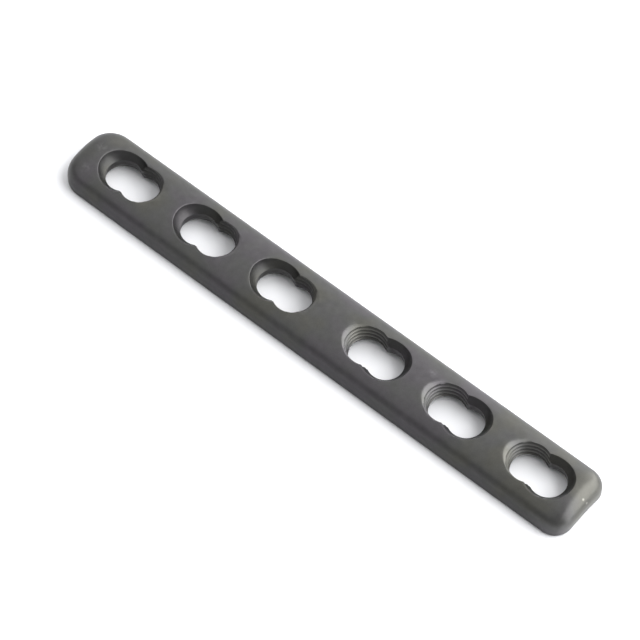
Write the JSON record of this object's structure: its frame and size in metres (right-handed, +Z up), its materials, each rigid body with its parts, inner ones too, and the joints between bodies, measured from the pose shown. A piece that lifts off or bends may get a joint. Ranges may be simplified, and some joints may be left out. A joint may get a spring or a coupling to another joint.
{
  "type": "orthopedic bone plate",
  "caption": "Straight narrow bone plate with double-lobed screw holes, a crowned top with round shoulders and a hollowed underside.",
  "frame": {"origin": "on the plane that the plate rests on, under the middle of its length and width", "axes": "+X along the plate, +Y across it, +Z up, away from the bone"},
  "size_m": [0.1152, 0.0142, 0.0051],
  "materials": {
    "plate_metal": null
  },
  "bodies": {
    "root": {"bone_plate": "plate_metal"}
  },
  "joints": []
}
